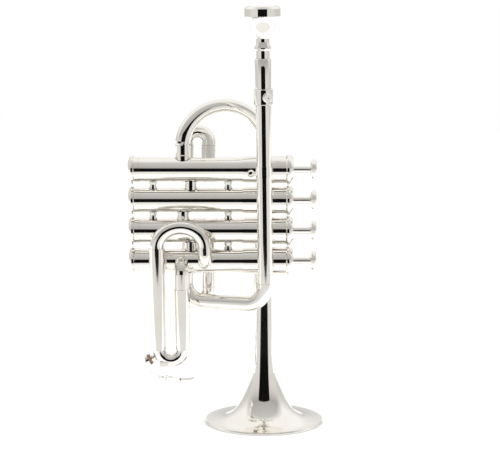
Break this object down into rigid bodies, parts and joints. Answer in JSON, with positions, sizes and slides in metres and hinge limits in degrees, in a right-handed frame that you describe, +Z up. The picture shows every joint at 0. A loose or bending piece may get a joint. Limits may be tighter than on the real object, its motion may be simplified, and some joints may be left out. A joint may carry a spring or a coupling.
{
  "type": "piccolo trumpet",
  "caption": "Small high-pitched trumpet with side-by-side piston valves, a slide and crook for each valve, a leadpipe with mouthpiece and a flared bell",
  "frame": {"origin": "centre of the bounding box's bottom face, in the plane of the bell's mouth", "axes": "+Z up along the bell, from its mouth to the mouthpiece; +X along the valves, from the bottom caps to the finger buttons; -Y is the leadpipe's side"},
  "size_m": [0.1648, 0.1076, 0.3572],
  "materials": {
    "silver_plate": "mirror-polished silver plate",
    "monel": "fine-honed",
    "spring_steel": "drawn wire",
    "cork": "matt cork"
  },
  "bodies": {
    "horn": {"bell": "silver_plate", "bell_bow": "silver_plate", "bell_bow_ferrule": "silver_plate", "bottom_bow": "silver_plate", "clamp_collar": "silver_plate", "knuckle_1_2": "silver_plate", "knuckle_2_3": "silver_plate", "knuckle_3_4": "silver_plate", "casing_post_1_2_button_end": "silver_plate", "casing_post_2_3_button_end": "silver_plate", "casing_post_3_4_button_end": "silver_plate", "casing_post_1_2_cap_end": "silver_plate", "casing_post_2_3_cap_end": "silver_plate", "fourth_slide_bow": "silver_plate", "fourth_slide_leg": "silver_plate", "leadpipe_sleeve": "silver_plate", "leadpipe_brace": "silver_plate", "first_slide_legs": "silver_plate", "second_slide_legs": "silver_plate", "third_slide_legs": "silver_plate", "valve_casing_1": "silver_plate", "bottom_cap_1": "silver_plate", "top_cap_1": "silver_plate", "valve_spring_1": "spring_steel", "valve_casing_2": "silver_plate", "bottom_cap_2": "silver_plate", "top_cap_2": "silver_plate", "valve_spring_2": "spring_steel", "valve_casing_3": "silver_plate", "bottom_cap_3": "silver_plate", "top_cap_3": "silver_plate", "valve_spring_3": "spring_steel", "valve_casing_4": "silver_plate", "bottom_cap_4": "silver_plate", "top_cap_4": "silver_plate", "valve_spring_4": "spring_steel"},
    "clamp_screw": {"clamp_screw": "silver_plate"},
    "valve_1": {"piston_1": "monel", "valve_stem_1": "silver_plate", "finger_button_1": "silver_plate"},
    "valve_2": {"piston_2": "monel", "valve_stem_2": "silver_plate", "finger_button_2": "silver_plate"},
    "valve_3": {"piston_3": "monel", "valve_stem_3": "silver_plate", "finger_button_3": "silver_plate"},
    "valve_4": {"piston_4": "monel", "valve_stem_4": "silver_plate", "finger_button_4": "silver_plate"},
    "leadpipe": {"leadpipe": "silver_plate"},
    "mouthpiece": {"mouthpiece": "silver_plate"},
    "first_slide": {"first_slide_crook": "silver_plate"},
    "second_slide": {"second_slide_crook": "silver_plate"},
    "third_slide": {"third_slide_crook": "silver_plate"},
    "fourth_slide": {"fourth_slide_crook": "silver_plate", "water_key_saddle": "silver_plate", "water_key_pin": "silver_plate", "water_key_spring": "spring_steel"},
    "water_key": {"water_key_lever": "silver_plate", "water_key_cork": "cork"}
  },
  "joints": [
    {"name": "valve_1_press", "type": "slide", "parent": "horn", "child": "valve_1", "axis": [-1, 0, 0], "range_m": [0, 0.0135], "stiffness_N_per_m": 100, "springref_m": -0.025, "deforming": ["valve_spring_1"]},
    {"name": "valve_2_press", "type": "slide", "parent": "horn", "child": "valve_2", "axis": [-1, 0, 0], "range_m": [0, 0.0135], "stiffness_N_per_m": 100, "springref_m": -0.025, "deforming": ["valve_spring_2"]},
    {"name": "valve_3_press", "type": "slide", "parent": "horn", "child": "valve_3", "axis": [-1, 0, 0], "range_m": [0, 0.0135], "stiffness_N_per_m": 100, "springref_m": -0.025, "deforming": ["valve_spring_3"]},
    {"name": "valve_4_press", "type": "slide", "parent": "horn", "child": "valve_4", "axis": [-1, 0, 0], "range_m": [0, 0.0135], "stiffness_N_per_m": 100, "springref_m": -0.025, "deforming": ["valve_spring_4"]},
    {"name": "clamp_screw_turn", "type": "hinge", "parent": "horn", "child": "clamp_screw", "pos_m": [0.03044, -0.03905, 0.28298], "axis": [0.342, -0.9397, 0.0042], "range_deg": [-90, 90]},
    {"name": "leadpipe_tune", "type": "slide", "parent": "horn", "child": "leadpipe", "axis": [-0.0122, 0, 0.9999], "range_m": [0, 0.02]},
    {"name": "mouthpiece_pull", "type": "slide", "parent": "leadpipe", "child": "mouthpiece", "axis": [-0.0122, 0, 0.9999], "range_m": [0, 0.024]},
    {"name": "first_slide_pull", "type": "slide", "parent": "horn", "child": "first_slide", "axis": [0, 0.342, 0.9397], "range_m": [0, 0.008]},
    {"name": "second_slide_pull", "type": "slide", "parent": "horn", "child": "second_slide", "axis": [0, 1, 0], "range_m": [0, 0.006]},
    {"name": "third_slide_pull", "type": "slide", "parent": "horn", "child": "third_slide", "axis": [0, 0, -1], "range_m": [0, 0.03]},
    {"name": "fourth_slide_pull", "type": "slide", "parent": "horn", "child": "fourth_slide", "axis": [0.0157, 0, -0.9999], "range_m": [0, 0.03]},
    {"name": "water_key_open", "type": "hinge", "parent": "fourth_slide", "child": "water_key", "pos_m": [-0.0536, -0.03905, 0.04844], "axis": [0, -1, 0], "range_deg": [0, 14], "stiffness_Nm_per_rad": 0.05, "springref_deg": -20.05, "deforming": ["water_key_spring"]}
  ]
}
